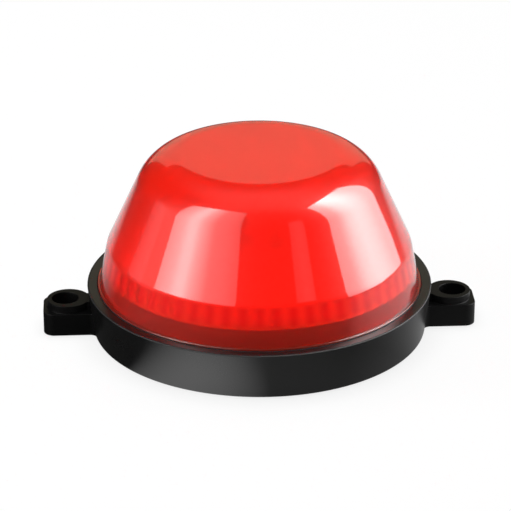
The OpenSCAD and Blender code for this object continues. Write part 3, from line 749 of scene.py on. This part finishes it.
def lensSection():  # also gives the ribs' lower and upper ends, and the band's inside radius at a height
    g = lens
    lean = radians(g["lean"])
    bandLean = atan((g["foot"] - g["knee"]) / (g["band"] - g["low"]))
    centreZ = g["top"] - g["shoulder"]
    centreX = g["knee"] - (g["shoulder"] - (g["band"] - centreZ) * sin(lean)) / cos(lean)

    def skin(inset):
        offset = inset / cos((lean - bandLean) / 2)
        kneeX = g["knee"] - offset * cos((lean + bandLean) / 2)
        kneeZ = g["band"] - offset * sin((lean + bandLean) / 2)
        knee = []
        for share in g["kneeShares"]:  # a small round at the knee
            s = g["kneeRound"] * share
            side = bandLean if s < 0 else lean
            drop = (1 - abs(share)) ** 2 * g["kneeRound"] * (lean - bandLean) / 4
            knee.append((kneeX - s * sin(side) - drop, kneeZ + s * cos(side) - drop * g["kneeDrop"]))
        shoulder = arcPoints(centreX, centreZ, g["shoulder"] - inset, g["lean"], 90, g["shoulderSteps"])
        return knee, shoulder, kneeX, kneeZ

    knee, shoulder = skin(0)[:2]
    beadTop = g["low"] + g["beadHigh"]  # a small bead runs round the foot
    bead = [(g["foot"] + g["bead"], g["low"])]
    bead += arcPoints(g["foot"] + g["bead"] - g["beadRound"], beadTop - g["beadRound"], g["beadRound"],
                      0, 90, g["beadSteps"])
    bead += [(g["foot"] - g["beadHigh"] * tan(bandLean), beadTop)]
    outer = bead + knee + shoulder + [(0, g["top"])]
    knee, shoulder, kneeX, kneeZ = skin(g["wall"])

    def bandIn(height):
        return kneeX + (kneeZ - height) * tan(bandLean)

    ribLow, ribHigh = g["skirtTop"] + g["ribDeep"], kneeZ - g["ribBelowKnee"]
    inner = [(0, g["top"] - g["wall"])] + shoulder[::-1] + knee[::-1]
    inner += [(bandIn(z), z) for z in (ribHigh, ribLow, g["skirtTop"])]
    inner += [(g["skirt"], g["skirtTop"]), (g["skirt"], g["low"])]
    return outer + inner, ribLow, ribHigh, bandIn


def makeLens():
    g = lens
    perRib = len(g["ribWave"])
    section, ribLow, ribHigh, bandIn = lensSection()
    body = lathe("lensShell", section, g["ribs"] * perRib)
    for edge in (g["foot"] + g["bead"], g["skirt"]):
        bevelWhere(body, lambda p: near(p, edge, g["low"]), g["footRound"])
    middle = bandIn((ribLow + ribHigh) / 2)
    for step, share in enumerate(g["ribWave"]):  # each rib is a wave pulled in from the band
        def onStep(spot):
            inBand = ribLow - g["ribSlack"] < spot.z < ribHigh + g["ribSlack"]
            if not inBand or spot.xy.length > bandIn(spot.z) + g["wallSlack"]:
                return False
            turn = Vector((1, 0)).angle_signed(spot.xy) / (2 * pi) * g["ribs"] * perRib
            return round(turn) % perRib == step

        openEdit(body, "VERT", onStep)
        pull = 1 - share * g["ribDeep"] / middle
        bpy.ops.transform.resize(value=(pull, pull, 1), center_override=(0, 0, 0))
        closeEdit()
    lug = sector("lensLug", box(lock["lugIn"], lock["lugOut"], -lock["thick"] / 2, lock["thick"] / 2),
                 -lock["lugArc"] / 2, lock["lugArc"], lock["lugSteps"], lock["tilt"], lock["lugZ"])
    softenEdges(lug, lock["round"], lock["roundSegments"])
    joinTo(body, roundTheLock(lug, "lug"))
    smooth(body, g["smoothAngle"])
    return body


lensShell = makeLens()
finished(lensShell, "lens", "lens_red", finishOf["lens_red"], "lens")
print("lens", len(lensShell.data.polygons), "faces")


# gasket: a rubber ring with rounded lips

gasket = {"inside": 44.55, "outside": 46.95, "low": 12.5, "high": 13.5, "round": 0.22, "steps": 192}
ring = lathe("gasketRing", box(gasket["inside"], gasket["outside"], gasket["low"], gasket["high"]),
             gasket["steps"])
softenEdges(ring, gasket["round"])
smooth(ring)
finished(ring, "gasket", "gasket_rubber", finishOf["gasket_rubber"], "lens_gasket")
print("gasket", len(ring.data.polygons), "faces")


# studio: pale floor, white surround, soft boxes and a dark tent that only reflections see, and three fills

studio = {"floor": 0.86, "floorStep": 0.02, "floorGrain": 40, "floorSize": 8, "floorZ": -0.0003,
          "ambient": 0.3, "glow": 0.8, "mirrorLow": 0.03, "mirrorHigh": 0.85, "litPatch": 0.3, "litPatchFade": 0.12,
          "litPatchX": 0.06, "lit": (0.5, 0.9, 0.03), "litFade": 0.08}
# painted light: pools of glow on the paper that only reflections see, each level, x, y, radius
paintedLightPools = {"base": (1.75, -0.0265, -0.052, 0.027), "wide": (0.3, 0.0, -0.055, 0.05)}  # level, x, y, radius
softBoxes = {  # stops give the brightness from the left edge to the right, rise adds to it towards the top
    "softBoxLeft": {"azimuth": -30, "away": 0.5, "sides": (0.09, -0.68), "heights": (0.1, 0.88), "glow": 10.0,
                    "stops": [(0, 0.36), (0.3, 0.68), (0.42, 1), (0.5, 1), (0.58, 0.66), (0.74, 0.24),
                              (0.88, 0.2), (1, 0.13)]},
    "softBoxRight": {"azimuth": 79, "away": 0.5, "sides": (-0.165, 0.48), "heights": (0.002, 0.76), "glow": 9.3,
                     "stops": [(0, 0.38), (0.14, 0.47), (0.28, 0.9), (0.42, 1), (0.54, 0.84), (0.77, 0.48),
                               (1, 0.38)], "rise": 1.5},
    "faintLeft": {"azimuth": -105, "away": 0.5, "sides": (-0.045, 0.095), "heights": (0.03, 0.2), "glow": 0.45,
                  "stops": [(0, 0.6), (0.5, 1), (1, 0.7)]},
    "faintRight": {"azimuth": 36, "away": 0.6, "sides": (-0.13, 0.02), "heights": (0.2, 0.45), "glow": 0.65,
                   "stops": [(0, 0.6), (0.6, 1), (1, 0.7)]},
}
fills = {  # place, size, glow
    "topFill": ((0, 0.1, 1.3), 1.3, 3.2),
    "frontFill": ((-0.1, -1.0, 0.75), 0.9, 0.5),
    "leftFill": ((-1.2, 0.05, 0.26), 0.5, 6.5),
}
fillAim = (0, 0, 0.02)
tentLook = {"sides": 180, "radius": 1.7, "high": 3, "middle": 1.4, "opening": 24, "turn": -3.2,
            "openingTop": 0.93, "underFloor": -0.05, "level": 0.02}
backdropLook = {"size": 4, "place": (0, 1.9, 0.7), "level": 0.45, "cream": rgb(1.0, 0.92, 0.68)}


def seenBy(wire, name):
    return wire.node("ShaderNodeLightPath", out=name)


def glowing(wire, level, colour=grey(1.0)):
    return wire.node("ShaderNodeEmission", None, {"Color": colour, "Strength": level}, "Emission")


def makeFloor():
    dropSelection()
    bpy.ops.mesh.primitive_plane_add(size=studio["floorSize"], location=(0, 0, studio["floorZ"]))
    floor = bpy.context.object
    floor.name = "studioFloor"
    settle(floor)
    paper, place = startFinish("floorPaper")
    grain = speckle(place, studio["floorGrain"])
    tone = between(grain, grey(studio["floor"]), grey(studio["floor"] + studio["floorStep"]))
    x, y = axisOf(place, "X"), axisOf(place, "Y")
    fromMiddle = ((x - studio["litPatchX"]) * (x - studio["litPatchX"]) + y * y) ** 0.5
    # painted light: as reflections see it, the paper glows brighter in a patch near the object, more to the
    # right and behind, and in the pools
    closeTo = clamped((studio["litPatch"] - fromMiddle) / studio["litPatchFade"])
    alongX, alongY, start = studio["lit"]  # mirrored, the paper is lit more to the right and behind
    side = clamped((x * alongX + y * alongY + start) / studio["litFade"])
    paintedMirrorGlow = studio["mirrorLow"] + closeTo * side * (studio["mirrorHigh"] - studio["mirrorLow"])
    for level, poolX, poolY, radius in paintedLightPools.values():
        away = ((x - poolX) * (x - poolX) + (y - poolY) * (y - poolY)) / radius ** 2
        paintedMirrorGlow = paintedMirrorGlow + clamped(1 - away) * level
    plain = clamped(seenBy(place, "Is Camera Ray") + seenBy(place, "Is Transmission Ray"))
    matt = place.node("ShaderNodeBsdfDiffuse", None, {"Color": tone}, "BSDF")
    seen = place.node("ShaderNodeMixShader", None,
                      {0: plain * studio["glow"], 1: matt, 2: glowing(place, 1.0)})
    both = place.node("ShaderNodeMixShader", None,
                      {0: seenBy(place, "Is Glossy Ray"), 1: seen, 2: glowing(place, paintedMirrorGlow)})
    place.node("ShaderNodeOutputMaterial", None, {"Surface": both})
    floor.data.materials.append(paper)


def makeWorld():
    world = bpy.data.worlds.new("studioWhite")
    bpy.context.scene.world = world
    world.use_nodes = True
    world.node_tree.nodes.clear()
    wire = Wire(world.node_tree)
    seen = clamped(seenBy(wire, "Is Camera Ray") + seenBy(wire, "Is Glossy Ray")
                   + seenBy(wire, "Is Transmission Ray"))
    level = studio["ambient"] + seen * (1 - studio["ambient"])
    sky = wire.node("ShaderNodeBackground", None, {"Color": grey(1.0), "Strength": level}, "Background")
    wire.node("ShaderNodeOutputWorld", None, {"Surface": sky})


def areaLamp(name, spot, facing):
    dropSelection()
    bpy.ops.object.light_add(type="AREA", location=spot)
    lamp = bpy.context.object
    lamp.name = name
    lamp.rotation_euler = facing.to_track_quat("-Z", "Y").to_euler()
    lamp.visible_camera = False
    return lamp


def softBox(name, azimuth, away, sides, heights, glow, stops, rise=0.0):
    outwards = Vector((sin(radians(azimuth)), -cos(radians(azimuth)), 0))
    across = Vector((cos(radians(azimuth)), sin(radians(azimuth)), 0))
    middle = Vector((0, 0, (heights[0] + heights[1]) / 2))
    lamp = areaLamp(name, outwards * away + across * (sides[0] + sides[1]) / 2 + middle, -outwards)
    lamp.visible_diffuse = False  # only mirrored
    lamp.data.shape = "RECTANGLE"
    lamp.data.size, lamp.data.size_y = abs(sides[1] - sides[0]), heights[1] - heights[0]
    lamp.data.energy = glow * pi * lamp.data.size * lamp.data.size_y
    lamp.data.use_nodes = True
    lamp.data.node_tree.nodes.clear()
    wire = Wire(lamp.data.node_tree)
    spread = wire.node("ShaderNodeNewGeometry", out="Parametric")
    along, height = axisOf(spread, "X"), axisOf(spread, "Y")
    fade = wire.node("ShaderNodeValToRGB", {"stops": [(at, grey(v)) for at, v in stops]}, {"Fac": along},
                     "Color")
    wire.node("ShaderNodeOutputLight", None, {"Surface": glowing(wire, 1 + height * rise, fade)})


def fillLamp(name, spot, size, glow):
    lamp = areaLamp(name, spot, Vector(fillAim) - Vector(spot))
    lamp.visible_glossy = False  # lights the colours, leaves the reflections alone
    lamp.data.size = size
    lamp.data.energy = glow * pi * size * size


def mirroredCard(card, level, colour=grey(1.0)):  # a glowing card that only reflections see
    cloth = bpy.data.materials.new(card.name)
    cloth.use_nodes = True
    cloth.node_tree.nodes.clear()
    wire = Wire(cloth.node_tree)
    wire.node("ShaderNodeOutputMaterial", None, {"Surface": glowing(wire, level, colour)})
    card.data.materials.append(cloth)
    card.visible_camera = card.visible_diffuse = card.visible_transmission = False
    card.visible_shadow = card.visible_volume_scatter = False


def makeTent():
    t = tentLook
    dropSelection()
    bpy.ops.mesh.primitive_cylinder_add(vertices=t["sides"], radius=t["radius"], depth=t["high"],
                                        location=(0, 0, t["middle"]))
    tent = bpy.context.object
    tent.name = "darkTent"
    settle(tent)
    openEdit(tent, "FACE", everything)
    bpy.ops.mesh.bisect(plane_co=(0, 0, t["openingTop"]), plane_no=(0, 0, 1))
    closeEdit()
    gap = t["radius"] / mm * cos(radians(t["opening"]))
    top, low = t["openingTop"] / mm, t["underFloor"] / mm
    openEdit(tent, "FACE", lambda p: p.z < low or (p.y > gap and p.z < top))
    bpy.ops.mesh.delete(type="FACE")
    closeEdit()
    tent.data.transform(Matrix.Rotation(radians(t["turn"]), 4, "Z"))
    bpy.ops.mesh.primitive_plane_add(size=backdropLook["size"], location=backdropLook["place"],
                                     rotation=(radians(90), 0, 0))
    backdrop = bpy.context.object
    backdrop.name = "creamBackdrop"
    settle(backdrop)
    mirroredCard(tent, t["level"])
    mirroredCard(backdrop, backdropLook["level"], backdropLook["cream"])


makeFloor()
makeWorld()
for name, look in softBoxes.items():
    softBox(name, **look)
for name, (spot, size, glow) in fills.items():
    fillLamp(name, spot, size, glow)
makeTent()
print("studio set")


# camera at the photograph's angle

shot = {"elevation": 24.06, "turn": -3.2, "away": 0.774, "focal": 2680.0, "frame": 511.0, "aim": (0, 0, 0.028),
        "spot": (259.3, 233.8), "sensor": 36, "clip": (0.01, 50)}


def makeCamera():
    up, turn = radians(shot["elevation"]), radians(shot["turn"])
    back = Vector((sin(turn) * cos(up), -cos(turn) * cos(up), sin(up)))
    bpy.ops.object.camera_add(location=Vector(shot["aim"]) + back * shot["away"])
    camera = bpy.context.object
    camera.name = "photoCamera"
    camera.data.sensor_width = shot["sensor"]
    camera.data.lens = shot["sensor"] * shot["focal"] / shot["frame"]
    camera.data.clip_start, camera.data.clip_end = shot["clip"]
    look = (-back).to_track_quat("-Z", "Y")
    half = shot["frame"] / 2
    nudge = Vector(((half - shot["spot"][0]) / shot["focal"], (shot["spot"][1] - half) / shot["focal"], -1))
    camera.rotation_euler = (look @ Vector((0, 0, -1)).rotation_difference(nudge)).to_euler()
    bpy.context.scene.camera = camera


dropSelection()
makeCamera()
bpy.context.scene.view_settings.view_transform = "Standard"
